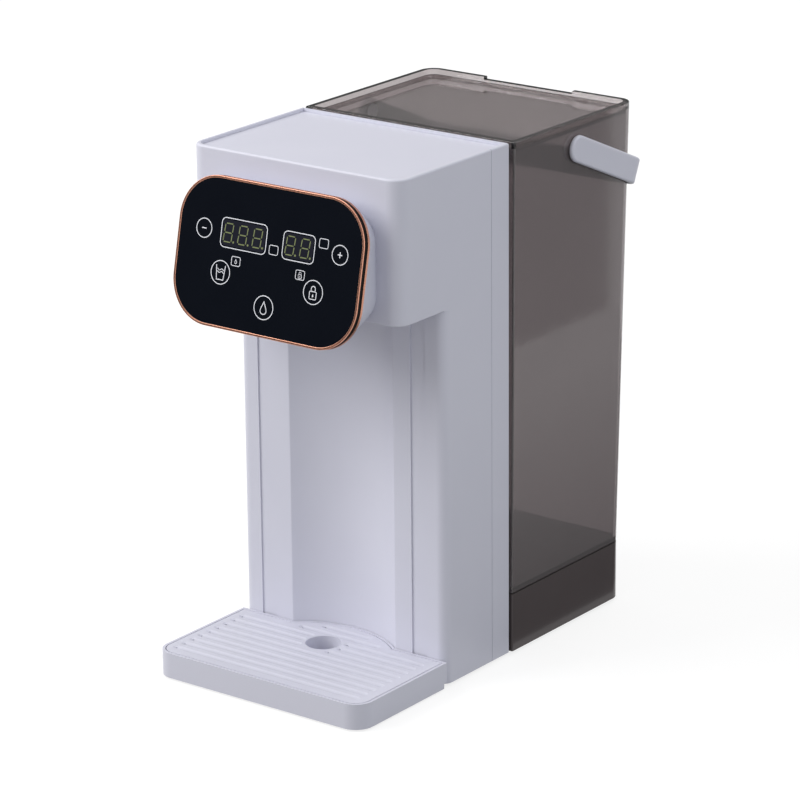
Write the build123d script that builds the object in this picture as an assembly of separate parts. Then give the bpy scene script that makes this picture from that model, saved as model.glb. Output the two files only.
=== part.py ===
from build123d import *
import math
import os

os.makedirs("parts", exist_ok=True)

# Countertop instant hot water dispenser with a lift-off tank at the back.
# Sizes are in millimetres: +Z is up, -Y is the front, X runs across the width.
# Heights called "height" are measured up from the underside of the housing, and
# the reaches forwards and backwards from the housing's rear face.

# Housing: a column that carries an overhanging head.
body_width = 145.0
body_height = 302.0
head_depth = 101.0
head_height = 82.0
column_depth = 61.7
foot_drop = 2.0
wall = 2.5
head_corner = 9.0
column_corner = 5.8
rear_edge = 0.8
top_edge = 1.3
head_lip = 0.8
rear_shell_depth = 17.1
parting_width = 0.35
parting_depth = 0.5

# Round niche and shallow channels in the column's front.
niche_half_width = 37.0
niche_depth = 13.0
niche_lip = 1.4
channel_width = 10.4
channel_middle = 54.2
channel_depth = 0.8

# Inset top cover and its ledge.
cover_drop = 1.8
cover_thickness = 2.0
cover_rib = 1.6
cover_rib_drop = 2.5
ledge_width = 2.0
ledge_thickness = 2.0

# Bottom plates, screw posts, screws and feet.
floor_thickness = 3.0
post_radius = 3.6
post_height = 14.0
post_side_gap = 7.0
front_post_reach = 30.0
rear_post_reach = 9.0
screw_radius = 1.4
screw_length = 11.0
screw_head_radius = 2.8
screw_head_height = 2.0
foot_radius = 8.0
foot_recess = 1.0
foot_inset = 22.5
front_foot_setback = 17.7
rear_foot_inset = 20.0
vent_length = 26.0
vent_width = 2.4
vent_pitch = 6.0
vent_count = 4
vent_side = 20.0
vent_reach = 40.0

# Control panel on its flared pod, tilted back at the top.
panel_width = 127.7
panel_height = 83.1
panel_corner = 25.8
panel_reach = 124.6
panel_drop = 50.7
panel_tilt = 12.0
ring_depth = 5.0
ring_width = 1.4
ring_front_lip = 0.6
ring_rear_lip = 1.6
ring_groove = 0.75
ring_round = 0.3
gasket_set_back = 0.3
glass_thickness = 2.0
glass_set_back = 0.15
pod_foot_width = 112.4
pod_foot_height = 62.0
pod_foot_corner = 16.0
pod_foot_drop = 51.5
pod_step = 0.6
pod_wall = 2.0
carrier_thickness = 2.0
board_stand_off = 7.0
board_thickness = 1.6
board_width = 104.0
board_height = 50.0
board_corner = 6.0
board_post_radius = 2.6
board_post_inset = 5.0
window_width = 28.0
window_height = 20.0

# Places on the glass, sideways and upwards from its centre, as shares of the panel: the
# keys, then each display's place across and its width, and the height of the displays.
key_shares = ((-0.363, 0.131), (0.363, 0.131), (-0.247, -0.141), (0.247, -0.141), (0.0, -0.306))
display_shares = ((-0.150, 0.225), (0.144, 0.147))
display_rise_share = 0.131
display_height_share = 0.162
key_pad_radius = 3.4
key_pad_bore = 2.6

# Spout and steam separator in the head.
spout_setback = 22.3
spout_drop = 16.0
spout_radius = 7.0
spout_tip_radius = 5.4
spout_bore = 3.2
spout_flange_radius = 10.0
spout_flange = 2.0
separator_width = 36.0
separator_length = 30.0
separator_height = 34.0
separator_wall = 1.8
separator_inlet_rise = 24.0

# Instant heater standing in the column.
heater_side = 36.0
heater_reach = 31.0
heater_radius = 13.0
heater_bottom_height = 62.0
heater_top_gap = 16.0
heater_cap_radius = 14.5
heater_cap_height = 10.0
bracket_width = 12.0
bracket_band = 1.5
bracket_height = 8.0
bracket_height_shares = (0.24, 0.79)
cutout_radius = 7.0
cutout_depth = 6.0
cutout_height_shares = (0.42, 0.58)
sensor_radius = 2.0
sensor_length = 6.0

# Hoses and the barbs that they slip over.
hose_bore = 3.0
hose_wall = 1.2
barb_bore = 2.0
barb_length = 12.0
hose_grip = 8.0
hose_bend = 10.0
hose_run = 24.0

# Power board on the rear shell.
power_side_gap = 8.0
power_width = 66.0
power_bottom_height = 68.0
power_top_gap = 17.0
power_stand_off = 6.5
power_post_inset = 6.0

# Smoked base under the tank.
tank_overhang = 1.0
base_gap = 1.6
base_reach = 114.8
deck_height = 35.0
deck_thickness = 3.0
tank_corner = 9.5
front_edge = 0.8
pass_left = 12.0
pass_right = 40.0
pass_bottom = 8.0
pass_top = 31.0
pass_frame = 2.0

# Lift-off tank, leaning a little towards the back.
tank_top_gap = 3.6
tank_top_reach = 124.2
tank_wall = 2.0
tank_floor = 2.5
tank_foot_height = 1.0
tank_foot_inset = 1.5
tank_foot_width = 2.0
lid_top_drop = 0.5
lid_rim_height = 3.7
lid_wall = 1.3
lid_recess = 5.0
lid_gap = 0.3
lid_edge = 0.5
notch_width = 63.0
notch_depth = 1.8
lift_lip = 8.0

# Tank outlet, its valve and the socket in the base.
outlet_side = -28.0
outlet_reach = 30.0
stub_radius = 11.0
stub_wall = 2.0
stub_drop = 17.0
socket_gap = 1.6
socket_wall = 2.0
socket_depth = 20.0
socket_floor = 2.0
socket_flange = 3.4
socket_flange_thickness = 2.0
seal_height = 3.0
seal_drop = 6.0
valve_lift = 4.0
valve_head_radius = 10.0
valve_head_height = 2.0
valve_seal_overhang = 0.6
valve_seal_thickness = 1.0
stem_radius = 2.2
stem_collar_radius = 4.6
stem_collar_height = 1.5
cage_drop = 7.0
cage_height = 3.0
cage_hub_radius = 4.4
cage_spoke = 2.4
spring_length = 4.4
spring_wire = 0.4
spring_radius = 3.4
spring_turns = 3.0

# Bail handle on the tank.
pivot_reach = 63.4
pivot_drop = 16.4
bail_angle = 23.5
strip_width = 15.6
strip_thickness = 2.6
strip_round = 1.5
strip_inner_round = 0.6
bail_side_gap = 0.8
bail_bend = 10.0
rest_gap = 0.1
pin_radius = 3.5
pin_head_radius = 4.3
pin_head_thickness = 1.2
pin_embed = 1.6

# Circulation pump lying across the base.
pump_reach = 70.0
pump_rise = 17.0
pump_face_side = 14.0
pump_head_radius = 13.6
pump_head_length = 14.0
pump_chamber_radius = 11.4
pump_wall = 3.0
pump_cover_thickness = 2.0
motor_radius = 12.0
motor_length = 29.0
shaft_radius = 1.5
shaft_seat = 10.0
rotor_radius = 10.4
rotor_plate = 1.8
rotor_gap = 1.0
vane_height = 5.0
vane_width = 1.2
vane_count = 5
outlet_rise = 8.0
cradle_width = 6.0
cradle_half_length = 9.0
cradle_places = (6.0, 22.0)

# Cord inlet in the base's rear wall. The cord itself isn't part of the model.
gland_inset = 28.5
gland_rise = 17.0
gland_radius = 6.2
gland_flange_radius = 8.6
gland_flange = 2.0
gland_inner_length = 3.0
gland_bore = 3.6

# Drip tray and its lift-out grille.
tray_reach = 142.6
tray_overhang = 1.0
tray_drop = 0.8
tray_height = 15.0
tray_corner = 11.2
tray_wall = 1.6
tray_floor = 2.0
tray_seat_width = 1.4
tray_heel = 3.2
tray_heel_setback = 2.6
grille_thickness = 3.0
grille_gap = 0.6
groove_count = 9
groove_pitch = 7.4
groove_width = 4.4
groove_depth = 0.55
first_groove_setback = 10.0
groove_margin = 6.5
drain_radius = 0.7
cup_hole_radius = 10.3
cup_hole_side = -1.6
cup_hole_collar = 1.0
drip_tube_wall = 1.4
drip_tube_gap = 1.8
short_groove_half_widths = (26.7, 15.7)
tongue_width = 10.0
tongue_thickness = 3.0
tongue_length = 6.0
tongue_inset = 20.5
tongue_rise = 4.5
tray_pad_radius = 5.0
tray_pad_inset = 18.5

# Clearances and the overrun of cuts.
fit_gap = 0.15
run_gap = 0.05
slide_gap = 0.4
soft_gap = 0.3
overrun = 1.0
quarter_turn = 90.0
half_turn = 180.0

# The bail rests with its crossbar's lower edge on the tank's leaning rear wall.
# Its inner length follows from where that edge meets the wall.
lean_share = (tank_top_reach - base_reach) / (body_height - deck_height)
sine = math.sin(math.radians(bail_angle))
cosine = math.cos(math.radians(bail_angle))
edge_height = body_height - pivot_drop - strip_width / 2 * cosine
wall_reach = base_reach + lean_share * (edge_height - deck_height)
edge_reach = pivot_reach - strip_width / 2 * sine
bail_inner = (wall_reach + rest_gap - edge_reach) / (cosine + lean_share * sine)
bail_length = bail_inner + strip_thickness
bail_reach = (pivot_reach + (bail_length - strip_round) * cosine
              + (strip_width / 2 - strip_round) * sine + strip_round)

# The origin is the middle of the whole footprint, on the surface that it stands on.
seam_y = (tray_reach - bail_reach) / 2
column_front = seam_y - column_depth
head_front = seam_y - head_depth
parting_y = seam_y - rear_shell_depth
body_bottom = foot_drop
body_top = body_bottom + body_height
head_under = body_top - head_height
head_floor = head_under + wall
cover_seat = body_top - cover_drop - cover_thickness
ledge_bottom = cover_seat - ledge_thickness
plate_top = body_bottom + floor_thickness
deck_top = body_bottom + deck_height
base_front = seam_y + base_gap
base_back = seam_y + base_reach
tank_bottom = deck_top + tank_foot_height
tank_rim = body_top - lid_top_drop - lid_rim_height
lid_top = tank_rim + lid_rim_height
half_body = body_width / 2
half_tank = half_body + tank_overhang
half_tray = half_body + tray_overhang
niche_radius = (niche_half_width ** 2 + niche_depth ** 2) / (2 * niche_depth)
niche_centre = column_front + niche_depth - niche_radius
power_left = power_side_gap + wall - half_body
power_right = power_left + power_width
power_bottom = body_bottom + power_bottom_height
power_top = head_under - power_top_gap
spout_y = head_front + spout_setback
pod_middle = body_top - pod_foot_drop
barb_radius = hose_bore
hose_radius = hose_bore + hose_wall


def block(x, y, z):
    """A box between two values of x, of y and of z."""
    centre = Pos((x[0] + x[1]) / 2, (y[0] + y[1]) / 2, (z[0] + z[1]) / 2)
    return centre * Box(x[1] - x[0], y[1] - y[0], z[1] - z[0])


def rod_x(y, z, radius, low, high):
    """A round bar along X."""
    return Pos((low + high) / 2, y, z) * Rot(0, quarter_turn, 0) * Cylinder(radius, high - low)


def rod_y(x, z, radius, low, high):
    """A round bar along Y."""
    return Pos(x, (low + high) / 2, z) * Rot(quarter_turn, 0, 0) * Cylinder(radius, high - low)


def rod_z(x, y, radius, low, high):
    """A round bar along Z."""
    return Pos(x, y, (low + high) / 2) * Cylinder(radius, high - low)


def plan(half_width, front, back, front_radius, back_radius):
    """A rectangle seen from above, with rounded front and back corners."""
    shape = Pos(0, (front + back) / 2) * Rectangle(2 * half_width, back - front)
    if front_radius > 0:
        shape = fillet(shape.vertices().group_by(Axis.Y)[0], front_radius)
    if back_radius > 0:
        shape = fillet(shape.vertices().group_by(Axis.Y)[-1], back_radius)
    return shape


def block_plan(half_width, front, back):
    """A plain rectangle seen from above."""
    return Pos(0, (front + back) / 2) * Rectangle(2 * half_width, back - front)


def slab(shape, low, high):
    """A flat outline raised from one height to another."""
    return Pos(0, 0, low) * extrude(shape, high - low)


def save(node, shape):
    """Write one named piece."""
    export_step(shape, f"parts/{node}.step")


# Housing shells

def column_plan(inset):
    """The column seen from above, drawn in by inset."""
    return plan(half_body - inset, column_front + inset, seam_y - inset,
                column_corner - inset, rear_edge - inset)


def head_plan(inset):
    """The head seen from above, drawn in by inset. It runs back over the column."""
    return plan(half_body - inset, head_front + inset, seam_y - inset,
                head_corner - inset, rear_edge - inset)


def niche(grow):
    """The round niche for the cup, widened by grow."""
    return Pos(0, niche_centre) * Circle(niche_radius + grow)


def faced_column():
    """The column's outline with its niche, softened lips and two sunk channels."""
    shape = column_plan(0) - niche(0)
    at_lip = [v for v in shape.vertices()
              if abs(abs(v.X) - niche_half_width) < niche_lip and abs(v.Y - column_front) < niche_lip]
    shape = fillet(at_lip, niche_lip)
    for side in (-1, 1):
        shape -= Pos(side * channel_middle, column_front) * Rectangle(channel_width, 2 * channel_depth)
    return shape


def housing():
    """The hollow column and head in one, before it is parted into two shells."""
    nose = head_plan(0) - block_plan(body_width, column_front, seam_y + overrun)
    nose = slab(nose, head_under, head_under + 2 * head_lip)
    nose = fillet(nose.faces().sort_by(Axis.Z)[0].edges().sort_by(Axis.Y)[:-1], head_lip)
    over_column = head_plan(0) - block_plan(body_width, head_front - overrun, column_front)
    over_column = slab(over_column, head_under, head_under + 2 * head_lip)
    head = slab(head_plan(0), head_under + 2 * head_lip, body_top)
    head = fillet(head.faces().sort_by(Axis.Z)[-1].edges(), top_edge)
    outer = slab(faced_column(), body_bottom, head_under) + nose + over_column + head
    cavity = slab(column_plan(wall) - niche(wall), body_bottom - overrun, head_floor)
    cavity += slab(head_plan(wall), head_floor, ledge_bottom)
    cavity += slab(head_plan(wall + ledge_width), ledge_bottom, cover_seat)
    cavity += slab(head_plan(wall), cover_seat, body_top + overrun)
    return outer - cavity


def screw_post(x, y):
    """A post that a case screw bites into, with its pilot hole."""
    top = plate_top + post_height
    post = rod_z(x, y, post_radius, plate_top, top)
    hole = rod_z(x, y, screw_radius, plate_top - overrun, plate_top + screw_length)
    return post, hole


body_posts = []
for side in (-1, 1):
    body_posts.append((side * (half_body - post_side_gap), seam_y - front_post_reach))
    body_posts.append((side * (half_body - post_side_gap), seam_y - rear_post_reach))

base_posts = []
for side in (-1, 1):
    for y in (base_front + post_side_gap, base_back - tank_corner):
        base_posts.append((side * (half_tank - post_side_gap), y))


def with_posts(shell, places, half_width):
    """Add screw posts to a shell, each with a web to the side wall."""
    for x, y in places:
        post, hole = screw_post(x, y)
        reach = sorted((x, math.copysign(half_width - wall / 2, x)))
        post += block(reach, (y - post_radius / 2, y + post_radius / 2), (plate_top, plate_top + post_height))
        shell = (shell + post) - hole
    return shell


def front_shell(case):
    """The front shell: the head's and column's front, sides and the head's floor."""
    front = case & block((-body_width, body_width), (head_front - body_width, parting_y),
                         (0, body_top + body_height))
    front = with_posts(front, [p for p in body_posts if p[1] < parting_y], half_body)
    front -= rod_z(0, spout_y, spout_radius + fit_gap, head_under - overrun, head_floor + overrun)
    front -= block((-window_width / 2, window_width / 2), (head_front - overrun, head_front + wall + overrun),
                   (pod_middle - window_height / 2, pod_middle + window_height / 2))
    for side in (-1, 1):
        half = tongue_width / 2 + slide_gap
        x = side * (half_body - tongue_inset)
        front -= block((x - half, x + half), (column_front - overrun, column_front + wall + overrun),
                       (body_bottom + tongue_rise - slide_gap,
                        body_bottom + tongue_rise + tongue_thickness + slide_gap))
    return front


def rear_shell(case):
    """The rear shell: a shallow pan with the hose pass and the power board's posts."""
    rear = case & block((-body_width, body_width), (parting_y, seam_y + overrun),
                        (0, body_top + body_height))
    line = block((-body_width, body_width), (parting_y, parting_y + parting_width),
                 (0, body_top + body_height))
    line -= slab(column_plan(parting_depth), 0, body_top - parting_depth)
    rear -= line
    for side in (-1, 1):
        outer = half_body - wall - fit_gap
        x = sorted((side * outer, side * (outer - parting_depth - wall / 2)))
        rear += block(x, (parting_y - wall, parting_y + wall),
                      (body_bottom + deck_height, ledge_bottom - wall))
        x = sorted((side * (half_body - wall / 2), side * (outer - wall / 2)))
        rear += block(x, (parting_y + wall / 2, parting_y + wall),
                      (body_bottom + deck_height, ledge_bottom - wall))
    rear -= block((pass_left, pass_right), (seam_y - wall - overrun, seam_y + overrun),
                  (body_bottom + pass_bottom, body_bottom + pass_top))
    rear = with_posts(rear, [p for p in body_posts if p[1] > parting_y], half_body)
    for x in (power_left + power_post_inset, power_right - power_post_inset):
        for z in (power_bottom + power_post_inset, power_top - power_post_inset):
            rear += rod_y(x, z, board_post_radius,
                          seam_y - wall - power_stand_off, seam_y - wall / 2)
    return rear


def top_cover():
    """The inset cover, with a rib under it that finds the opening."""
    cover = slab(head_plan(wall + fit_gap), cover_seat, cover_seat + cover_thickness)
    rib_inset = wall + ledge_width + fit_gap
    rib = slab(head_plan(rib_inset) - head_plan(rib_inset + cover_rib),
               cover_seat - cover_rib_drop, cover_seat)
    return cover + rib


case = housing()
save("front_shell", front_shell(case))
save("rear_shell", rear_shell(case))
save("top_cover", top_cover())


# Bottom plates, feet and case screws

feet_places = []
for side in (-1, 1):
    feet_places.append((side * (half_body - foot_inset), column_front + front_foot_setback))
    feet_places.append((side * (half_body - foot_inset), base_back - rear_foot_inset))


def bottom_plate(outline, posts, feet, vent_y):
    """A bottom plate with sunk screw holes, foot recesses and air slots."""
    plate = slab(outline, body_bottom, plate_top)
    for x, y in posts:
        plate -= rod_z(x, y, screw_radius, body_bottom - overrun, plate_top + overrun)
        plate -= rod_z(x, y, screw_head_radius + fit_gap, body_bottom - overrun,
                       body_bottom + screw_head_height)
    for x, y in feet:
        plate -= rod_z(x, y, foot_radius, body_bottom - overrun, body_bottom + foot_recess)
    for index in range(vent_count):
        x = (index - (vent_count - 1) / 2) * vent_pitch
        for side in (-1, 1):
            slot = Pos(side * vent_side + x, vent_y) * SlotOverall(vent_length, vent_width, quarter_turn)
            plate -= slab(slot, body_bottom - overrun, plate_top + overrun)
    return plate


def base_plan(inset):
    """The smoked base seen from above, drawn in by inset."""
    return plan(half_tank - inset, base_front + inset, base_back - inset,
                front_edge - inset, tank_corner - inset)


body_outline = column_plan(wall + fit_gap) - niche(wall + fit_gap)
save("body_floor", bottom_plate(body_outline, body_posts, feet_places[0::2],
                                seam_y - (column_depth - niche_depth) / 2))
save("base_floor", bottom_plate(base_plan(wall + fit_gap), base_posts, feet_places[1::2],
                                base_back - vent_reach))

feet = [rod_z(x, y, foot_radius, 0, body_bottom + foot_recess) for x, y in feet_places]
save("feet", Compound(feet))

screws = []
for x, y in body_posts + base_posts:
    screw = rod_z(x, y, screw_head_radius, body_bottom, body_bottom + screw_head_height)
    screw += rod_z(x, y, screw_radius, body_bottom + screw_head_height, plate_top + screw_length)
    screws.append(screw)
save("case_screws", Compound(screws))


# Control panel

panel = Plane(origin=(0, seam_y - panel_reach, body_top - panel_drop), x_dir=(1, 0, 0),
              z_dir=(0, -math.cos(math.radians(panel_tilt)), math.sin(math.radians(panel_tilt))))


def panel_outline(inset):
    """The panel's rounded outline, drawn in by inset."""
    return RectangleRounded(panel_width - 2 * inset, panel_height - 2 * inset, panel_corner - inset)


def behind(outline, start, end):
    """An outline carried from one depth to another behind the panel's front plane."""
    return extrude(panel.offset(-end) * outline, end - start)


def pod_loft(inset):
    """The pod's flare from its foot on the head to the back of the trim ring."""
    foot = Plane(origin=(0, head_front, pod_middle), x_dir=(1, 0, 0), z_dir=(0, -1, 0))
    start = foot * RectangleRounded(pod_foot_width - 2 * inset, pod_foot_height - 2 * inset,
                                    pod_foot_corner - inset)
    end = panel.offset(-ring_depth) * panel_outline(pod_step + inset)
    return loft([start, end])


carrier_front = glass_set_back + glass_thickness
carrier_back = carrier_front + carrier_thickness
board_front = carrier_front + board_stand_off
pad_places = [(across * panel_width, up * panel_height) for across, up in key_shares]
display_places = [(across * panel_width, width * panel_width) for across, width in display_shares]
display_rise = display_rise_share * panel_height
display_height = display_height_share * panel_height


def pod_housing():
    """The pod: a flared wall, and a carrier plate that the glass is bonded to."""
    neck = ring_width + fit_gap
    pod = pod_loft(0) - pod_loft(pod_wall)
    pod -= block((-panel_width, panel_width), (head_front, head_front + head_depth),
                 (0, body_top + body_height))
    rim = panel_outline(neck) - panel_outline(neck + pod_wall)
    lip = panel_outline(pod_step) - panel_outline(neck + pod_wall)
    pod += behind(rim, carrier_front, ring_depth) + behind(lip, ring_depth, ring_depth + pod_step)
    pod += behind(panel_outline(neck), carrier_front, carrier_back)
    for x, width in display_places:
        hole = Pos(x, display_rise) * Rectangle(width + 2 * soft_gap, display_height + 2 * soft_gap)
        pod -= behind(hole, carrier_front - overrun, carrier_back + overrun)
    for x, rise in pad_places:
        pod -= behind(Pos(x, rise) * Circle(key_pad_radius + soft_gap), carrier_front - overrun,
                      carrier_back + overrun)
    post_side = board_width / 2 - board_post_inset
    post_rise = board_height / 2 - board_post_inset
    for x in (-post_side, post_side):
        for rise in (-post_rise, post_rise):
            pod += behind(Pos(x, rise) * Circle(board_post_radius), carrier_front, board_front)
    return pod


def trim_ring():
    """The metal ring: a rounded front lip, a sunk groove and a rear lip."""
    front = behind(panel_outline(0) - panel_outline(ring_width), 0, ring_front_lip)
    outward = Axis(panel.origin, panel.z_dir)
    front = fillet(front.faces().sort_by(outward)[-1].edges(), ring_round)
    middle = behind(panel_outline(ring_groove) - panel_outline(ring_width), ring_front_lip,
                    ring_depth - ring_rear_lip)
    back = behind(panel_outline(0) - panel_outline(ring_width), ring_depth - ring_rear_lip, ring_depth)
    return front + middle + back


save("pod_housing", pod_housing())
save("trim_ring", trim_ring())
save("trim_gasket", behind(panel_outline(gasket_set_back) - panel_outline(ring_groove), ring_front_lip,
                           ring_depth - ring_rear_lip))
save("touch_glass", behind(panel_outline(ring_width + fit_gap), glass_set_back, carrier_front))

board = RectangleRounded(board_width, board_height, board_corner)
save("control_board", behind(board, board_front, board_front + board_thickness))
modules = [behind(Pos(x, display_rise) * Rectangle(width, display_height), carrier_front, board_front)
           for x, width in display_places]
save("display_modules", Compound(modules))
pads = [behind(Pos(x, rise) * (Circle(key_pad_radius) - Circle(key_pad_bore)), carrier_front,
               board_front) for x, rise in pad_places]
save("touch_springs", Compound(pads))


# Spout and steam separator

def spout_nozzle():
    """The nozzle: a flange on the head's floor and a tapered tip under it."""
    tip = head_under - spout_drop
    profile = Polyline((0, tip), (spout_tip_radius, tip), (spout_radius, head_under),
                       (spout_radius, head_floor), (spout_flange_radius, head_floor),
                       (spout_flange_radius, head_floor + spout_flange), (0, head_floor + spout_flange),
                       (0, tip))
    nozzle = Pos(0, spout_y, 0) * revolve(Plane.XZ * make_face(profile), Axis.Z)
    return nozzle - rod_z(0, spout_y, spout_bore, tip - overrun, head_floor + spout_flange + overrun)


separator_bottom = head_floor + spout_flange
separator_back = spout_y + separator_length / 2
inlet_z = separator_bottom + separator_inlet_rise


def steam_separator():
    """The separator: a small box where steam leaves the water before the spout."""
    half = separator_width / 2
    depth = separator_length / 2
    top = separator_bottom + separator_height
    box = block((-half, half), (spout_y - depth, spout_y + depth), (separator_bottom, top))
    box -= block((-half + separator_wall, half - separator_wall),
                 (spout_y - depth + separator_wall, spout_y + depth - separator_wall),
                 (separator_bottom + separator_wall, top - separator_wall))
    box -= rod_z(0, spout_y, spout_bore, separator_bottom - overrun, separator_bottom + separator_wall + overrun)
    box += rod_y(0, inlet_z, barb_radius, separator_back, separator_back + barb_length)
    box -= rod_y(0, inlet_z, barb_bore, separator_back - separator_wall - overrun,
                 separator_back + barb_length + overrun)
    for x in (-1, 1):
        for y in (-1, 1):
            edge_x = x * (half - separator_wall)
            edge_y = spout_y + y * (depth - separator_wall)
            box += rod_z(edge_x, edge_y, separator_wall, head_floor, separator_bottom)
    return box


save("spout_nozzle", spout_nozzle())
save("steam_separator", steam_separator())


# Instant heater with its cut-outs, sensors and brackets

heater_x = heater_side
heater_y = seam_y - heater_reach
heater_bottom = body_bottom + heater_bottom_height
heater_top = head_under - heater_top_gap
heater_length = heater_top - heater_bottom
heater_bar = rod_z(heater_x, heater_y, heater_radius, heater_bottom, heater_top)
save("heater_tube", heater_bar)


def heater_cap(face, outward):
    """An end cap with the barb for its hose."""
    far = face + outward * heater_cap_height
    tip = far + outward * barb_length
    cap = rod_z(heater_x, heater_y, heater_cap_radius, min(face, far), max(face, far))
    cap += rod_z(heater_x, heater_y, barb_radius, min(far, tip), max(far, tip))
    return cap - rod_z(heater_x, heater_y, barb_bore, min(face + outward * wall, tip + outward * overrun),
                       max(face + outward * wall, tip + outward * overrun))


save("heater_caps", Compound([heater_cap(heater_bottom, -1), heater_cap(heater_top, 1)]))

brackets = []
for share in bracket_height_shares:
    low = heater_bottom + share * heater_length
    high = low + bracket_height
    arm = block((heater_x - bracket_width / 2, heater_x + bracket_width / 2),
                (heater_y, seam_y - wall), (low, high))
    band = rod_z(heater_x, heater_y, heater_radius + bracket_band, low, high)
    hole = rod_z(heater_x, heater_y, heater_radius, low - overrun, high + overrun)
    brackets.append(arm + band - hole)
save("heater_brackets", Compound(brackets))

cutouts = [rod_x(heater_y, heater_bottom + share * heater_length, cutout_radius,
                 heater_x - heater_radius - cutout_depth, heater_x - heater_radius / 2) - heater_bar
           for share in cutout_height_shares]
save("thermal_cutouts", Compound(cutouts))

sensors = []
for z in (heater_bottom - heater_cap_height / 2, heater_top + heater_cap_height / 2):
    cap = rod_z(heater_x, heater_y, heater_cap_radius, z - heater_cap_height, z + heater_cap_height)
    sensors.append(rod_x(heater_y, z, sensor_radius, heater_x - heater_cap_radius - sensor_length,
                         heater_x - heater_cap_radius / 2) - cap)
save("temperature_sensors", Compound(sensors))


# Power board

power_y = seam_y - wall - power_stand_off
power_front = power_y - board_thickness
save("power_board", block((power_left, power_right), (power_front, power_y), (power_bottom, power_top)))

# Each box on the board: its place across and up the board and its size, as shares of the
# board's width and height, with its depth as a share of the board's width.
part_shares = {
    "transformer": (0.30, 0.20, 0.38, 0.17, 0.32),
    "relay": (0.76, 0.18, 0.26, 0.14, 0.24),
    "second_relay": (0.76, 0.38, 0.26, 0.14, 0.24),
    "terminal_block": (0.38, 0.92, 0.50, 0.07, 0.16),
}
fin_count = 5
fin_share = 0.5
sink_shares = (0.32, 0.58, 0.46, 0.26, 0.34)


def board_box(shares):
    """A box on the power board, from its shares of the board."""
    across, up, width, height, depth = shares
    board_x = power_right - power_left
    board_z = power_top - power_bottom
    x = power_left + across * board_x
    z = power_bottom + up * board_z
    return ((x - width * board_x / 2, x + width * board_x / 2),
            (power_front - depth * board_x, power_front),
            (z - height * board_z / 2, z + height * board_z / 2))


def heat_sink():
    """A heat sink: a plate on the board with upright fins."""
    x, y, z = board_box(sink_shares)
    back = y[1] - (y[1] - y[0]) * (1 - fin_share) / 2
    sink = block(x, (back, y[1]), z)
    pitch = (x[1] - x[0]) / fin_count
    for index in range(fin_count):
        left = x[0] + (index + (1 - fin_share) / 2) * pitch
        sink += block((left, left + fin_share * pitch), (y[0], y[1]), z)
    return sink


can_shares = ((0.72, 0.62), (0.72, 0.76))
can_radius_share = 0.09
can_depth_share = 0.3
power_parts = [block(*board_box(shares)) for shares in part_shares.values()]
power_parts.append(heat_sink())
for across, up in can_shares:
    width = power_right - power_left
    power_parts.append(rod_y(power_left + across * width, power_bottom + up * (power_top - power_bottom),
                             can_radius_share * width, power_front - can_depth_share * width, power_front))
save("power_parts", Compound(power_parts))


# Smoked base

outlet_x = outlet_side
outlet_y = seam_y + outlet_reach
socket_radius = stub_radius + socket_gap


def base_shell():
    """The base: smoked walls and the deck that the tank stands on."""
    shell = slab(base_plan(0), body_bottom, deck_top)
    shell -= slab(base_plan(wall), body_bottom - overrun, deck_top - deck_thickness)
    shell -= rod_z(outlet_x, outlet_y, socket_radius, deck_top - deck_thickness - overrun, deck_top + overrun)
    bottom = body_bottom + pass_bottom
    top = body_bottom + pass_top
    shell += block((pass_left - pass_frame, pass_right + pass_frame), (seam_y, base_front + wall),
                   (bottom - pass_frame, top + pass_frame / 2))
    shell -= block((pass_left, pass_right), (seam_y - overrun, base_front + wall + overrun), (bottom, top))
    shell = with_posts(shell, base_posts, half_tank)
    return shell - rod_y(gland_x, gland_z, gland_radius, base_back - wall - overrun, base_back + overrun)


gland_x = gland_inset - half_tank
gland_z = body_bottom + gland_rise
save("base_shell", base_shell())

gland_inner = base_back - wall - gland_inner_length
gland = rod_y(gland_x, gland_z, gland_radius, gland_inner, base_back + gland_flange)
gland += rod_y(gland_x, gland_z, gland_flange_radius, base_back, base_back + gland_flange)
gland -= rod_y(gland_x, gland_z, gland_bore, gland_inner - overrun, base_back + gland_flange + overrun)
save("cord_gland", gland)

socket_top = deck_top - deck_thickness
socket_bottom = deck_top - socket_depth - socket_floor
stub_bottom = tank_bottom - stub_drop
stem_bottom = stub_bottom + overrun
pump_z = body_bottom + pump_rise
pump_y = seam_y + pump_reach


def tank_socket():
    """The socket under the deck: a cup with a pin that opens the tank's valve."""
    cup = rod_z(outlet_x, outlet_y, socket_radius + socket_wall, socket_bottom, socket_top)
    cup += rod_z(outlet_x, outlet_y, socket_radius + socket_wall + socket_flange,
                 socket_top - socket_flange_thickness, socket_top)
    start = outlet_y + socket_radius
    end = start + socket_wall + barb_length
    cup += rod_y(outlet_x, pump_z, barb_radius, start, end)
    cup -= rod_z(outlet_x, outlet_y, socket_radius, socket_bottom + socket_floor, socket_top + overrun)
    cup -= rod_y(outlet_x, pump_z, barb_bore, outlet_y, end + overrun)
    return cup + rod_z(outlet_x, outlet_y, stem_radius, socket_bottom, stem_bottom - run_gap)


seal_top = socket_top - seal_drop
seal = rod_z(outlet_x, outlet_y, socket_radius, seal_top - seal_height, seal_top)
seal -= rod_z(outlet_x, outlet_y, stub_radius + soft_gap, seal_top - seal_height - overrun,
              seal_top + overrun)
save("tank_socket", tank_socket())
save("socket_seal", seal)


# Pump

pump_x = pump_face_side
pump_back = pump_x + pump_head_length
chamber_back = pump_back - pump_wall
outlet_z = pump_z + outlet_rise
pump_outlet_x = pump_x + (chamber_back - pump_x) / 2


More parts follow.
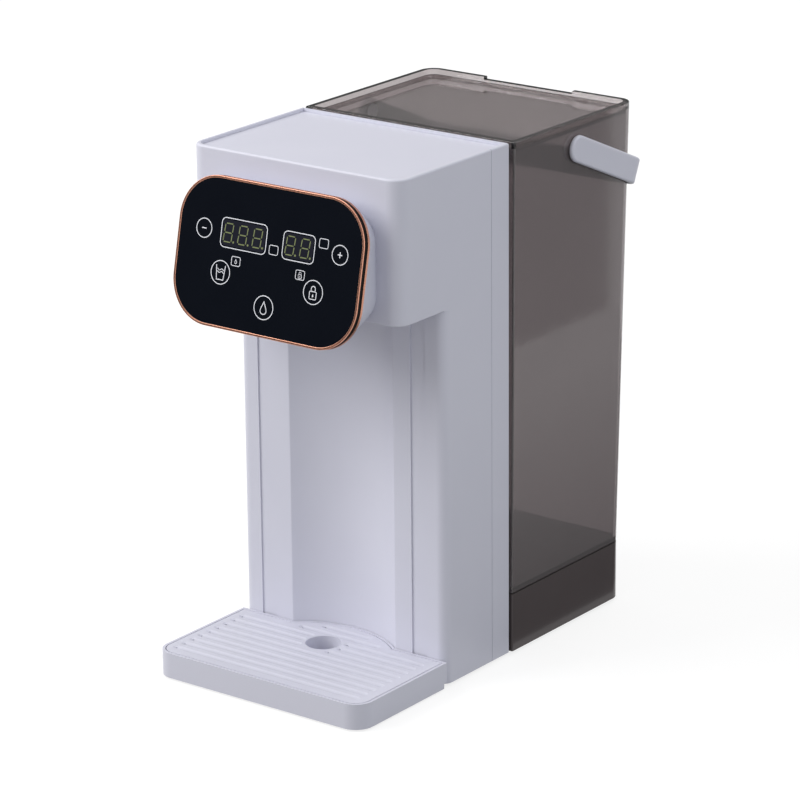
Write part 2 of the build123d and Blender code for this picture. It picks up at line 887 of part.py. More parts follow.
def pump_head():
    """The pump's head: a round chamber with a tangential outlet towards the front."""
    head = rod_x(pump_y, pump_z, pump_head_radius, pump_x, pump_back)
    tip = pump_y - pump_head_radius - barb_length
    head += rod_y(pump_outlet_x, outlet_z, barb_radius, tip, pump_y)
    head -= rod_x(pump_y, pump_z, pump_chamber_radius, pump_x - overrun, chamber_back)
    head -= rod_y(pump_outlet_x, outlet_z, barb_bore, tip - overrun, pump_y)
    return head - rod_x(pump_y, pump_z, shaft_radius + soft_gap, chamber_back - overrun, pump_back + overrun)


def pump_cover():
    """The pump's cover with its inlet barb."""
    face = pump_x - pump_cover_thickness
    cover = rod_x(pump_y, pump_z, pump_head_radius, face, pump_x)
    cover += rod_x(pump_y, pump_z, barb_radius, face - barb_length, face)
    return cover - rod_x(pump_y, pump_z, barb_bore, face - barb_length - overrun, pump_x + overrun)


def pump_rotor():
    """The impeller on its shaft: a plate with curved vanes."""
    plate_back = chamber_back - rotor_gap
    plate_front = plate_back - rotor_plate
    rotor = rod_x(pump_y, pump_z, rotor_radius, plate_front, plate_back)
    rotor += rod_x(pump_y, pump_z, shaft_radius, plate_front - vane_height, pump_back + shaft_seat)
    vane = CenterArc((rotor_radius / 2, 0), rotor_radius / 2, 0, half_turn * 2 / 3)
    blade = trace(vane, line_width=vane_width) & Circle(rotor_radius)
    side_view = Plane(origin=(plate_front, pump_y, pump_z), x_dir=(0, 1, 0), z_dir=(-1, 0, 0))
    for index in range(vane_count):
        turned = Rot(0, 0, index * 2 * half_turn / vane_count) * blade
        rotor += extrude(side_view * turned, vane_height)
    return rotor


motor_can = rod_x(pump_y, pump_z, motor_radius, pump_back, pump_back + motor_length)
motor = motor_can - rod_x(pump_y, pump_z, shaft_radius + run_gap, pump_back - overrun,
                          pump_back + shaft_seat + soft_gap)
save("pump_motor", motor)
save("pump_head", pump_head())
save("pump_cover", pump_cover())
save("pump_rotor", pump_rotor())

cradles = []
for place in cradle_places:
    left = pump_back + place
    cradles.append(block((left, left + cradle_width), (pump_y - cradle_half_length, pump_y + cradle_half_length),
                         (plate_top, pump_z - motor_radius / 2)) - motor_can)
save("pump_cradles", Compound(cradles))


# Hoses, slipped over their barbs

def hose(node, points, radii):
    """A hose along straight runs joined by tangent arcs."""
    route = FilletPolyline(*points, radius=radii)
    section = Plane(origin=route @ 0, z_dir=route % 0)
    outside = sweep(section * Circle(hose_radius), path=route)
    inside = sweep(section * Circle(hose_bore), path=route)
    print(node, "length", round(route.length), "bends", radii)
    save(node, outside - inside)


socket_tip = outlet_y + socket_radius + socket_wall + barb_length
inlet_tip = pump_x - pump_cover_thickness - barb_length
hose("inlet_hose", [(outlet_x, socket_tip - hose_grip, pump_z), (outlet_x, pump_y, pump_z),
                    (inlet_tip + hose_grip, pump_y, pump_z)], hose_bend)

outlet_tip = pump_y - pump_head_radius - barb_length
heater_low = heater_bottom - heater_cap_height - barb_length
hose("feed_hose", [(pump_outlet_x, outlet_tip + hose_grip, outlet_z),
                   (pump_outlet_x, base_front + hose_grip, outlet_z),
                   (heater_x, heater_y, outlet_z),
                   (heater_x, heater_y, heater_low + hose_grip)], hose_bend)

heater_high = heater_top + heater_cap_height + barb_length
separator_tip = separator_back + barb_length
hose("outlet_hose", [(heater_x, heater_y, heater_high - hose_grip), (heater_x, heater_y, inlet_z),
                     (0, heater_y, inlet_z), (0, separator_tip - hose_grip, inlet_z)], hose_bend)


# Lift-off tank

def tank_plan(share, inset):
    """The tank's outline at a share of its height from bottom to rim, drawn in by inset."""
    front = base_front + share * (tank_top_gap - base_gap)
    back = base_back + share * (tank_top_reach - base_reach)
    return plan(half_tank - inset, front + inset, back - inset, front_edge - inset, tank_corner - inset)


def tank_loft(inset, low_share, high_share):
    """The leaning tank form between two shares of its height, drawn in by inset."""
    rise = tank_rim - tank_bottom
    low = Pos(0, 0, tank_bottom + low_share * rise) * tank_plan(low_share, inset)
    high = Pos(0, 0, tank_bottom + high_share * rise) * tank_plan(high_share, inset)
    return loft([low, high])


pivot_y = seam_y + pivot_reach
pivot_z = body_top - pivot_drop
floor_share = tank_floor / (tank_rim - tank_bottom)
over_share = 1 + overrun / (tank_rim - tank_bottom)


def tank_shell():
    """The tank: leaning walls, a foot ring, an outlet stub and the bail's pin holes."""
    tank = tank_loft(0, 0, 1)
    tank -= tank_loft(tank_wall, floor_share, over_share)
    ring = base_plan(tank_foot_inset) - base_plan(tank_foot_inset + tank_foot_width)
    tank += slab(ring, deck_top, tank_bottom)
    floor_top = tank_bottom + tank_floor
    tank += rod_z(outlet_x, outlet_y, stub_radius, stub_bottom, tank_bottom)
    tank -= rod_z(outlet_x, outlet_y, stub_radius - stub_wall, stub_bottom - overrun, floor_top + overrun)
    for side in (-1, 1):
        reach = sorted((side * (half_tank - tank_wall - overrun), side * (half_tank + overrun)))
        tank -= rod_x(pivot_y, pivot_z, pin_radius + run_gap, *reach)
    return tank


save("tank_shell", tank_shell())


# Outlet valve, held open by the socket's pin while the tank stands on the base

cage_top = tank_bottom - cage_drop
cage_bottom = cage_top - cage_height
stub_inner = stub_radius - stub_wall
floor_top = tank_bottom + tank_floor

cage = rod_z(outlet_x, outlet_y, stub_inner, cage_bottom, cage_top)
cage -= rod_z(outlet_x, outlet_y, stub_inner - cage_spoke / 2, cage_bottom - overrun, cage_top + overrun)
cage += rod_z(outlet_x, outlet_y, cage_hub_radius, cage_bottom, cage_top)
spoke_count = 3
for index in range(spoke_count):
    spoke = Box(stub_inner - cage_spoke / 2, cage_spoke, cage_height, align=(Align.MIN, Align.CENTER, Align.MIN))
    cage += Pos(outlet_x, outlet_y, cage_bottom) * Rot(0, 0, index * 2 * half_turn / spoke_count) * spoke
cage -= rod_z(outlet_x, outlet_y, stem_radius + run_gap, cage_bottom - overrun, cage_top + overrun)
save("valve_cage", cage)

seal_bottom = floor_top + valve_lift
head_bottom = seal_bottom + valve_seal_thickness
collar_top = stem_bottom + stem_collar_height
plunger = rod_z(outlet_x, outlet_y, stem_radius, stem_bottom, head_bottom)
plunger += rod_z(outlet_x, outlet_y, valve_head_radius, head_bottom, head_bottom + valve_head_height)
plunger += rod_z(outlet_x, outlet_y, stem_collar_radius, stem_bottom, collar_top)
save("valve_plunger", plunger)

washer = rod_z(outlet_x, outlet_y, valve_head_radius + valve_seal_overhang, seal_bottom, head_bottom)
save("valve_washer", washer - rod_z(outlet_x, outlet_y, stem_radius, seal_bottom - overrun,
                                    head_bottom + overrun))

coil_height = cage_bottom - collar_top - 2 * spring_wire
coil = Helix(pitch=coil_height / spring_turns, height=coil_height, radius=spring_radius)
wire = sweep(Plane(origin=coil @ 0, z_dir=coil % 0) * Circle(spring_wire), path=coil)
save("valve_spring", Pos(outlet_x, outlet_y, collar_top + spring_wire) * wire)
print("spring gap", round(coil_height / spring_turns - 2 * spring_wire, 2))


# Lid

def lid():
    """The lid: a flat rim on the tank's edge and a sunk plate inside it."""
    top_plan = tank_plan(1, 0)
    rim = slab(top_plan, tank_rim, lid_top)
    rim = fillet(rim.faces().sort_by(Axis.Z)[-1].edges(), lid_edge)
    skirt = tank_plan(1, tank_wall + lid_gap)
    plate_top_z = lid_top - lid_recess
    dish = slab(skirt, plate_top_z - lid_wall, tank_rim)
    hollow = slab(tank_plan(1, tank_wall + lid_gap + lid_wall), plate_top_z, lid_top + overrun)
    cover = rim + dish - hollow
    back = seam_y + tank_top_reach
    notch = block((-notch_width / 2, notch_width / 2), (back - lift_lip, back + overrun),
                  (lid_top - notch_depth, lid_top + overrun))
    return cover - notch


save("lid", lid())


# Bail handle and its pins

bail_inner_side = half_tank + bail_side_gap
bail_outer_side = bail_inner_side + strip_thickness


def bail():
    """A flat strip bent to a U, drawn lying level from its pivots and then laid down."""
    start = -strip_width
    inner_bend = bail_bend - strip_thickness
    outer = plan(bail_outer_side, start, bail_length, 0, bail_bend)
    inner = plan(bail_inner_side, start - overrun, bail_inner, 0, inner_bend)
    ends = rod_x(0, 0, strip_width / 2, -bail_outer_side, bail_outer_side)
    ends += block((-bail_outer_side, bail_outer_side), (0, bail_length), (-strip_width / 2, strip_width / 2))
    strip = Pos(0, 0, -strip_width / 2) * extrude(outer, strip_width) & ends
    spans = [(e, e.bounding_box().size) for e in strip.edges()]
    strip = fillet([e for e, size in spans if max(size.X, size.Y) > strip_round], strip_round)
    strip -= Pos(0, 0, -strip_width / 2) * extrude(inner, strip_width)
    spans = [(e, e.bounding_box()) for e in strip.edges()]
    inside = [e for e, box in spans if max(-box.min.X, box.max.X) < bail_inner_side + run_gap
              and box.max.Y < bail_inner + run_gap]
    strip = fillet(inside, strip_inner_round)
    for side in (-1, 1):
        reach = sorted((side * (bail_inner_side - overrun), side * (bail_inner_side + pin_embed)))
        strip -= rod_x(0, 0, pin_radius, *reach)
    return Pos(0, pivot_y, pivot_z) * Rot(-bail_angle, 0, 0) * strip


save("handle", bail())

pins = []
for side in (-1, 1):
    inner_face = half_tank - tank_wall - soft_gap
    head = sorted((side * (inner_face - pin_head_thickness), side * inner_face))
    stem = sorted((side * inner_face, side * (bail_inner_side + pin_embed)))
    pins.append(rod_x(pivot_y, pivot_z, pin_head_radius, *head) + rod_x(pivot_y, pivot_z, pin_radius, *stem))
save("handle_pins", Compound(pins))


# Drip tray and grille

tray_bottom = body_bottom - tray_drop
tray_top = tray_bottom + tray_height
tray_front = seam_y - tray_reach
tray_back = column_front - slide_gap


def tray_plan(inset):
    """The tray seen from above: rounded front corners and a lobe that fills the niche."""
    shape = plan(half_tray - inset, tray_front + inset, tray_back - inset, tray_corner - inset, 0)
    lobe = niche(-slide_gap - inset)
    lobe &= block_plan(niche_half_width, column_front - niche_depth, column_front + niche_depth)
    return shape + lobe


grille_top = tray_top
grille_bottom = grille_top - grille_thickness


def drip_tray():
    """The tray: a basin with a seat for the grille, a cut-back heel and two tongues."""
    tray = slab(tray_plan(0), tray_bottom, tray_top)
    tray -= slab(tray_plan(tray_wall), grille_bottom, tray_top + overrun)
    heel_y = tray_back - tray_heel_setback
    heel = block_plan(half_tray, heel_y, tray_back) - niche(-slide_gap)
    behind_basin = block_plan(half_tray, heel_y - tray_wall, tray_back) - niche(-slide_gap - tray_wall)
    basin = tray_plan(tray_wall + tray_seat_width) - behind_basin
    tray -= slab(basin, tray_bottom + tray_floor, tray_top)
    tray -= slab(heel, tray_bottom - overrun, tray_bottom + tray_heel)
    tongue_bottom = body_bottom + tongue_rise
    for side in (-1, 1):
        x = side * (half_body - tongue_inset)
        tray += block((x - tongue_width / 2, x + tongue_width / 2), (tray_back - tray_wall, tray_back + tongue_length),
                      (tongue_bottom, tongue_bottom + tongue_thickness))
        tray -= rod_z(side * (half_tray - tray_pad_inset), tray_front + tray_pad_inset, tray_pad_radius,
                      tray_bottom - overrun, tray_bottom + foot_recess)
    return tray


groove_radius = ((groove_width / 2) ** 2 + groove_depth ** 2) / (2 * groove_depth)


def groove(left, right, y):
    """One round-bottomed groove with ball ends, and the drain hole at its left end."""
    height = grille_top + groove_radius - groove_depth
    start, finish = left + groove_width / 2, right - groove_width / 2
    cut = rod_x(y, height, groove_radius, start, finish)
    for x in (start, finish):
        cut += Pos(x, y, height) * Sphere(groove_radius)
    return cut + rod_z(start, y, drain_radius, grille_bottom - overrun, grille_top)


def tray_grille():
    """The grille: a plate with grooves to its drain holes and a drip tube under the spout."""
    plate = slab(tray_plan(tray_wall + grille_gap), grille_bottom, grille_top)
    tube_bottom = tray_bottom + tray_floor + drip_tube_gap
    plate += rod_z(cup_hole_side, spout_y, cup_hole_radius + drip_tube_wall, tube_bottom, grille_bottom)
    collar = cup_hole_radius + cup_hole_collar
    half_groove = groove_width / 2
    groove_side = half_tray - tray_wall - groove_margin
    first_y = tray_front + first_groove_setback
    for index in range(groove_count):
        y = first_y + index * groove_pitch
        left = -groove_side - half_groove
        near = abs(y - spout_y) - half_groove
        if near < collar:
            stop = math.sqrt(collar ** 2 - max(near, 0) ** 2)
            plate -= groove(left, cup_hole_side - stop, y)
            plate -= groove(cup_hole_side + stop, groove_side, y)
        else:
            plate -= groove(left, groove_side, y)
    for index, half in enumerate(short_groove_half_widths):
        y = first_y + (groove_count + index) * groove_pitch
        plate -= groove(-half - half_groove, half + half_groove, y)
    return plate - rod_z(cup_hole_side, spout_y, cup_hole_radius, tube_bottom - overrun, grille_top + overrun)


save("drip_tray", drip_tray())
save("tray_grille", tray_grille())
tray_pads = [rod_z(side * (half_tray - tray_pad_inset), tray_front + tray_pad_inset, tray_pad_radius,
                   0, tray_bottom + foot_recess) for side in (-1, 1)]
save("tray_pads", Compound(tray_pads))

print("seam y", round(seam_y, 3), "bail length", round(bail_length, 3), "reach", round(bail_reach, 3))
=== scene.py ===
import math

import bpy
import numpy as np
from mathutils import Matrix, Vector


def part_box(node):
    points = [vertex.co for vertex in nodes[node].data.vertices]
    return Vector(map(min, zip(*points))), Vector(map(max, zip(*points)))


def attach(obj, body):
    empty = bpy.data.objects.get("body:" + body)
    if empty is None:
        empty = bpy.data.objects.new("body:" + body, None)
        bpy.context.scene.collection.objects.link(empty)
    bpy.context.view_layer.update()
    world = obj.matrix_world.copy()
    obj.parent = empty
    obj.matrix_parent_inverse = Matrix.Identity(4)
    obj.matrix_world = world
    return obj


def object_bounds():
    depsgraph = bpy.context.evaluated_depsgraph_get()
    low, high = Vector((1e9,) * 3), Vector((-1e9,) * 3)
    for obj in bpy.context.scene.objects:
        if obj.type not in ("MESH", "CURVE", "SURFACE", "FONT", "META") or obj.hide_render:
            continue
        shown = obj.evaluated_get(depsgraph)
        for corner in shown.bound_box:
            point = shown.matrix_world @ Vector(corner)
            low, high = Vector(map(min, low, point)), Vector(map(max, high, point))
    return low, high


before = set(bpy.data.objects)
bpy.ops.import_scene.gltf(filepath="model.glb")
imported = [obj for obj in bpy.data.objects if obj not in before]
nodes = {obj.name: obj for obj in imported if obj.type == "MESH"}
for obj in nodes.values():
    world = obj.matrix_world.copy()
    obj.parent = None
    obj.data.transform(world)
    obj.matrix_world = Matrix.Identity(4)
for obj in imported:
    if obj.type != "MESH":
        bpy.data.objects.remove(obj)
cad_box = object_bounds()
mm = 0.001


# Viewpoint. The photograph was taken from the right and above with a long lens, so the camera
# stands about two metres away. Its place is measured from the rear shell's back face.

photo_width = 800
focal_pixels = 3836.0
sensor_width = 36.0
azimuth = math.radians(37.06)
elevation = math.radians(18.255)
roll = math.radians(-0.536)
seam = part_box("rear_shell")[1].y
camera_place = Vector((1.2599, seam - 1.6745, 0.8322))

away = Vector((math.sin(azimuth) * math.cos(elevation), -math.cos(azimuth) * math.cos(elevation),
               math.sin(elevation)))
level = Vector((math.cos(azimuth), math.sin(azimuth), 0))
upward = away.cross(level)
rightward = math.cos(roll) * level + math.sin(roll) * upward
topward = math.cos(roll) * upward - math.sin(roll) * level

camera_data = bpy.data.cameras.new("photo_camera")
camera_data.sensor_width = sensor_width
camera_data.lens = focal_pixels * sensor_width / photo_width
camera_data.clip_start = 0.05
camera_data.clip_end = 50.0
camera = bpy.data.objects.new("photo_camera", camera_data)
camera_turn = Matrix((rightward, topward, away)).transposed().to_4x4()
camera.matrix_world = Matrix.Translation(camera_place) @ camera_turn
bpy.context.scene.collection.objects.link(camera)
bpy.context.scene.camera = camera


# Standing feet: four round pads of grey thermoplastic rubber, moulded and pressed into the two
# bottom plates. Rubber from a blasted mould is dull and slightly cloudy.

def linear(code):
    """An sRGB hex colour as linear RGBA: c / 12.92 below 0.04045, else ((c + 0.055) / 1.055) ** 2.4."""
    c = np.array([int(code[i:i + 2], 16) for i in (1, 3, 5)]) / 255
    return (*np.where(c <= 0.04045, c / 12.92, ((c + 0.055) / 1.055) ** 2.4), 1.0)


def add(tree, kind, settings=None, links=None):
    """Adds a node, sets its properties or unlinked inputs, and links its inputs to other nodes' outputs."""
    node = tree.nodes.new(kind)
    for name, value in (settings or {}).items():
        if isinstance(name, int) or name in node.inputs:
            node.inputs[name].default_value = value
        else:
            setattr(node, name, value)
    for name, source in (links or {}).items():
        tree.links.new(source, node.inputs[name])
    return node


def surface(name, colours, roughness, grain, relief, cloud=30 * mm, stretch=(1, 1, 1), **sockets):
    """
    A moulded, drawn or polished surface. Noise as large as the cloud mixes the two colours, noise
    as large as the grain takes the roughness through its range, and the same grain lifts the
    surface by the relief. The stretch draws the grain out along an axis, as brushing does.
    """
    material = bpy.data.materials.new(name)
    material.use_nodes = True
    tree = material.node_tree
    shader = tree.nodes["Principled BSDF"]
    for socket, value in sockets.items():
        shader.inputs[socket.replace("_", " ")].default_value = value
    place = add(tree, "ShaderNodeTexCoord").outputs["Object"]
    drawn = add(tree, "ShaderNodeMapping", {"Scale": stretch}, {"Vector": place})
    broad = add(tree, "ShaderNodeTexNoise", {"Scale": 1 / cloud, "Detail": 3.0}, {"Vector": place})
    # A Mix node takes its two colours at inputs 6 and 7, and gives the mixed one at output 2.
    tint = add(tree, "ShaderNodeMix", {"data_type": "RGBA", 6: linear(colours[0]), 7: linear(colours[1])},
               {0: broad.outputs["Fac"]})
    fine = add(tree, "ShaderNodeTexNoise", {"Scale": 1 / grain, "Detail": 2.0},
               {"Vector": drawn.outputs["Vector"]})
    rough = add(tree, "ShaderNodeMapRange", {"To Min": roughness[0], "To Max": roughness[1]},
                {"Value": fine.outputs["Fac"]})
    bump = add(tree, "ShaderNodeBump", {"Strength": 0.6, "Distance": relief},
               {"Height": fine.outputs["Fac"]})
    tree.links.new(tint.outputs[2], shader.inputs["Base Color"])
    tree.links.new(rough.outputs["Result"], shader.inputs["Roughness"])
    tree.links.new(bump.outputs["Normal"], shader.inputs["Normal"])
    return material


def dress(material, *names):
    """Gives CAD nodes their finish."""
    for name in names:
        for place in nodes[name].material_slots:
            place.material = material


foot_rubber = surface("blasted_grey_tpe", ("#56565A", "#4E4E52"), (0.70, 0.82), 0.7 * mm, 0.01 * mm)
dress(foot_rubber, "feet")


# Bottom plates and case screws. The body's plate is white ABS and the tank base's is smoked
# black ABS, and eight zinc-plated cross-head screws hold the plates and the shells.

# Spark-eroded ABS scatters light softly. Its real grain of 0.1 mm is drawn 0.6 mm wide to show.
white_abs = surface("spark_eroded_white_abs", ("#D8D8E4", "#D4D4E1"), (0.40, 0.48), 0.6 * mm, 0.003 * mm,
                    IOR=1.53)
dress(white_abs, "body_floor")

# The tank's base is moulded in ABS with so much grey in it that little light comes through.
smoked_abs = surface("smoked_black_abs", ("#564E4F", "#504949"), (0.20, 0.28), 0.8 * mm, 0.003 * mm,
                     IOR=1.53, Specular_IOR_Level=0.25)
dress(smoked_abs, "base_floor")

# Zinc plate is bluish and slightly cloudy.
zinc_plate = surface("zinc_plated_steel", ("#C4C6CC", "#B4B7C0"), (0.24, 0.40), 0.5 * mm, 0.004 * mm,
                     cloud=3 * mm, Metallic=1.0)
dress(zinc_plate, "case_screws")


# Heating unit: a drawn stainless steel tube with printed heating tracks between two glass-filled
# nylon end caps, held by pressed brackets, with bimetal cut-outs and sensors clipped on it.

# Drawing leaves fine streaks along the tube, so its gloss runs up and down.
drawn_steel = surface("drawn_stainless_steel", ("#B9B8B6", "#A9A8A7"), (0.24, 0.36), 0.5 * mm, 0.004 * mm,
                      stretch=(1, 1, 0.05), Metallic=1.0)
dress(drawn_steel, "heater_tube", "heater_brackets", "temperature_sensors", "touch_springs")

# Unpigmented nylon is milky and lets a little light in.
natural_nylon = surface("moulded_natural_nylon", ("#D8D5C9", "#CFCBBD"), (0.42, 0.52), 0.7 * mm, 0.008 * mm,
                        Subsurface_Weight=0.15, Subsurface_Scale=2 * mm)
dress(natural_nylon, "heater_caps")

# Black nylon comes satin from its mould.
black_nylon = surface("moulded_black_nylon", ("#1B1B1D", "#151517"), (0.42, 0.54), 0.7 * mm, 0.006 * mm)
dress(black_nylon, "thermal_cutouts")


# Boards: glass-fibre laminate under green solder mask, one behind the touch glass and one in
# the column, with their moulded modules, relays and capacitors soldered on.

# Solder mask is a glossy green lacquer.
solder_mask = surface("solder_masked_laminate", ("#14512F", "#0F4427"), (0.28, 0.38), 0.4 * mm, 0.005 * mm,
                      cloud=6 * mm, Coat_Weight=0.3)
dress(solder_mask, "control_board", "power_board")

# Epoxy moulded round components is a dull charcoal.
epoxy = surface("moulded_black_epoxy", ("#202123", "#2A2B2E"), (0.45, 0.6), 0.5 * mm, 0.006 * mm)
dress(epoxy, "power_parts", "display_modules")


# Pump and hoses: a small magnetically driven pump with a zinc-plated motor can and nylon head,
# in rubber cradles, and three extruded silicone hoses that carry the water.

# Rolled steel keeps faint streaks under its plating.
motor_can = surface("rolled_motor_steel", ("#A9AAAD", "#9A9B9F"), (0.22, 0.36), 0.4 * mm, 0.004 * mm,
                    stretch=(0.05, 1, 1), Metallic=1.0)
dress(motor_can, "pump_motor")
dress(natural_nylon, "pump_head", "pump_cover", "pump_rotor")

# Filled silicone rubber is matt.
black_rubber = surface("black_silicone_rubber", ("#0C0C0D", "#101011"), (0.55, 0.68), 0.7 * mm, 0.006 * mm)
dress(black_rubber, "pump_cradles")

# Clear silicone is slightly milky, with a soft gloss.
clear_silicone = surface("extruded_silicone", ("#DEDED8", "#D4D4CD"), (0.36, 0.46), 0.8 * mm, 0.006 * mm,
                         Subsurface_Weight=0.3, Subsurface_Scale=3 * mm)
dress(clear_silicone, "inlet_hose", "feed_hose", "outlet_hose")


# White shells: the head and column's front and rear shells, the inset top cover and the pod that
# carries the panel, all injection moulded in white ABS with a fine spark-eroded texture.

dress(white_abs, "front_shell", "rear_shell", "top_cover", "pod_housing")


# Steam separator and spout: a nylon chamber under the top cover, with the nozzle that the hot
# water leaves by. Only the nozzle's end shows, under the head.

dress(natural_nylon, "steam_separator", "spout_nozzle")


# Trim ring: a rose-gold ring round the panel, moulded in ABS and metallised, with a soft black
# gasket in the groove of its edge. The metal film is satin, with broad soft highlights.

rose_gold = surface("metallised_rose_gold", ("#DAA088", "#CF927A"), (0.24, 0.32), 0.8 * mm, 0.001 * mm,
                    Metallic=1.0)
dress(rose_gold, "trim_ring")

# Soft rubber at the bottom of a groove looks nearly black.
gasket_rubber = surface("soft_black_gasket", ("#0B0606", "#0E0908"), (0.6, 0.7), 0.7 * mm, 0.004 * mm,
                        Specular_IOR_Level=0.12)
dress(gasket_rubber, "trim_gasket")


# Touch glass: a sheet of soda-lime glass, printed black on its rear face. The polished front
# mirrors the room, and finger marks dull it very slightly in soft patches.

black_glass = surface("black_backed_glass", ("#10131A", "#14171E"), (0.04, 0.09), 18 * mm, 0.0 * mm,
                      IOR=1.52)
dress(black_glass, "touch_glass")


# Printed marks: rings, frames and pictograms, screen printed in white ink. Their places are in
# millimetres across and up the glass from its centre. The real print lies behind the glass, so
# the parallax lays each mark where it shows on the glass from the photograph's side.

panel_tilt = math.radians(12.0)
glass_thickness = 2.0 * mm
ink_thickness = 0.03 * mm
ink_depth = 0.02 * mm
glass_low, glass_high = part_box("touch_glass")
glass_across = np.array((1.0, 0.0, 0.0))
glass_up = np.array((0.0, math.sin(panel_tilt), math.cos(panel_tilt)))
glass_out = np.array((0.0, -math.cos(panel_tilt), math.sin(panel_tilt)))
glass_face = np.array((glass_low + glass_high) / 2) + glass_out * glass_thickness / 2
parallax = np.array((1.2, 0.5))
sharpest_mitre = 0.35


def skin(loops, ring=False):
    """
    A closed skin through loops of points: loops[i, j] is point j of loop i. Each loop is joined
    to the next by quads, and the two end loops are capped, or joined to each other in a ring.
    The faces are turned so that the volume they enclose, the sum of a . (b x c) / 6, is positive.
    """
    count, size = loops.shape[:2]
    index = np.arange(count * size).reshape(count, size)
    here = index if ring else index[:-1]
    there = np.roll(index, -1, 0)[:len(here)]
    quads = np.stack([here, np.roll(here, -1, 1), np.roll(there, -1, 1), there], -1).reshape(-1, 4)
    caps = [] if ring else [index[0][::-1], index[-1]]
    points = loops.reshape(-1, 3)
    fans = [np.stack([np.full(size - 2, cap[0]), cap[1:-1], cap[2:]], -1) for cap in caps]
    corners = points[np.concatenate([quads[:, :3], quads[:, (0, 2, 3)], *fans])]
    volume = np.sum(np.cross(corners[:, 0], corners[:, 1]) * corners[:, 2])
    faces = quads.tolist() + [cap.tolist() for cap in caps]
    return points, faces if volume > 0 else [face[::-1] for face in faces]


def piece(name, skins, material, body):
    """One piece made of closed skins, riding on a CAD body."""
    starts = np.cumsum([0] + [len(points) for points, _ in skins])
    faces = [[int(p + start) for p in face] for start, (_, some) in zip(starts, skins) for face in some]
    mesh = bpy.data.meshes.new(name)
    mesh.from_pydata(np.concatenate([points for points, _ in skins]).tolist(), [], faces)
    mesh.materials.append(material)
    thing = bpy.data.objects.new(name, mesh)
    bpy.context.scene.collection.objects.link(thing)
    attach(thing, body)
    return thing


def on_glass(flat, height):
    """Points given in millimetres across and up the glass, at a height over it."""
    flat = (np.asarray(flat, float) + parallax) * mm
    return glass_face + flat[..., :1] * glass_across + flat[..., 1:] * glass_up + height * glass_out


def stroke(path, width, closed=False, top=ink_thickness):
    """
    A printed line. Each point of its path moves half the width to either side along the mitre
    (n1 + n2) / (1 + n1 . n2), where n1 and n2 are the normals of the runs that meet there. The
    divisor stops at a least value, so that a sharp point doesn't run out to a spike.
    """
    path = np.asarray(path, float)
    runs = np.roll(path, -1, 0) - path if closed else np.diff(path, axis=0)
    runs = runs / np.linalg.norm(runs, axis=1)[:, None]
    normals = np.stack([-runs[:, 1], runs[:, 0]], 1)
    before = np.roll(normals, 1, 0) if closed else np.vstack([normals[:1], normals])
    after = normals if closed else np.vstack([normals, normals[-1:]])
    divisor = np.maximum(1 + np.sum(before * after, 1), sharpest_mitre)
    mitre = (before + after) / divisor[:, None] * width / 2
    left, right = path + mitre, path - mitre
    edges = ((left, -ink_depth), (left, top), (right, top), (right, -ink_depth))
    return skin(np.stack([on_glass(edge, height) for edge, height in edges], 1), closed)


def patch(outline, top=ink_thickness):
    """A printed patch, with its outline once in the glass and once over it."""
    return skin(np.stack([on_glass(outline, -ink_depth), on_glass(outline, top)]))


def circle(centre, radius, count=48):
    """Points round a circle: centre + radius (cos t, sin t)."""
    turn = np.linspace(0, 2 * math.pi, count, endpoint=False)
    return np.array(centre) + radius * np.stack([np.cos(turn), np.sin(turn)], 1)


def rounded(left, bottom, right, top, radius, count=7):
    """Points round a rectangle whose corners are quarter circles."""
    quarter = np.repeat(np.arange(4), count)
    turn = (quarter + np.tile(np.linspace(0, 1, count), 4)) * math.pi / 2
    x = np.where((quarter == 0) | (quarter == 3), right - radius, left + radius)
    y = np.where(quarter < 2, top - radius, bottom + radius)
    return np.stack([x + radius * np.cos(turn), y + radius * np.sin(turn)], 1)


def drop(centre, width, height, count=32):
    """Points round a drop: x = 0.65 w sin t sin(t / 2) ** 2 and y = 0.5 h cos t."""
    turn = np.linspace(0, 2 * math.pi, count, endpoint=False)
    shape = np.stack([0.65 * width * np.sin(turn) * np.sin(turn / 2) ** 2, 0.5 * height * np.cos(turn)], 1)
    return np.array(centre) + shape


def padlock(centre, width, thickness):
    """
    A padlock's printed body, its shackle, a half circle (cos t, sin t) on short legs, and its
    keyhole drop. Every size is a share of the body's width.
    """
    x, y = centre
    foot_share, shoulder_share, corner_share = 0.82, 0.10, 0.14
    shackle_share, spring_share = 0.30, 0.42
    keyhole_width_share, keyhole_height_share = 0.28, 0.42
    low, middle = y - foot_share * width, y + shoulder_share * width
    body = stroke(rounded(x - width / 2, low, x + width / 2, middle, corner_share * width), thickness, True)
    turn = np.linspace(0, math.pi, 13)
    reach, spring = shackle_share * width, y + spring_share * width
    arch = np.stack([x + reach * np.cos(turn), spring + reach * np.sin(turn)], 1)
    shackle = stroke([(x + reach, middle), *arch, (x - reach, middle)], thickness)
    keyhole = patch(drop((x, (low + middle) / 2), keyhole_width_share * width,
                         keyhole_height_share * width, 16))
    return [body, shackle, keyhole]


def tumbler(centre, height, mouth, foot, thickness):
    """
    A printed open glass with two wavy lines of water in it, each y = a sin(2 pi x / l). The waves'
    reach, height a, length l and two levels are shares of the mouth or the height.
    """
    x, y = centre
    reach_share, wave_share, length_share, level_shares = 0.38, 0.05, 0.5, (0.20, 0.02)
    wall = stroke([(x - mouth / 2, y + height / 2), (x - foot / 2, y - height / 2),
                   (x + foot / 2, y - height / 2), (x + mouth / 2, y + height / 2)], thickness)
    across = np.linspace(-reach_share * mouth, reach_share * mouth, 13)
    wave = wave_share * height * np.sin(across * 2 * math.pi / (length_share * mouth))
    waves = [stroke(np.stack([x + across, y + level * height + wave], 1), fine_share * thickness)
             for level in level_shares]
    return [wall, *waves]


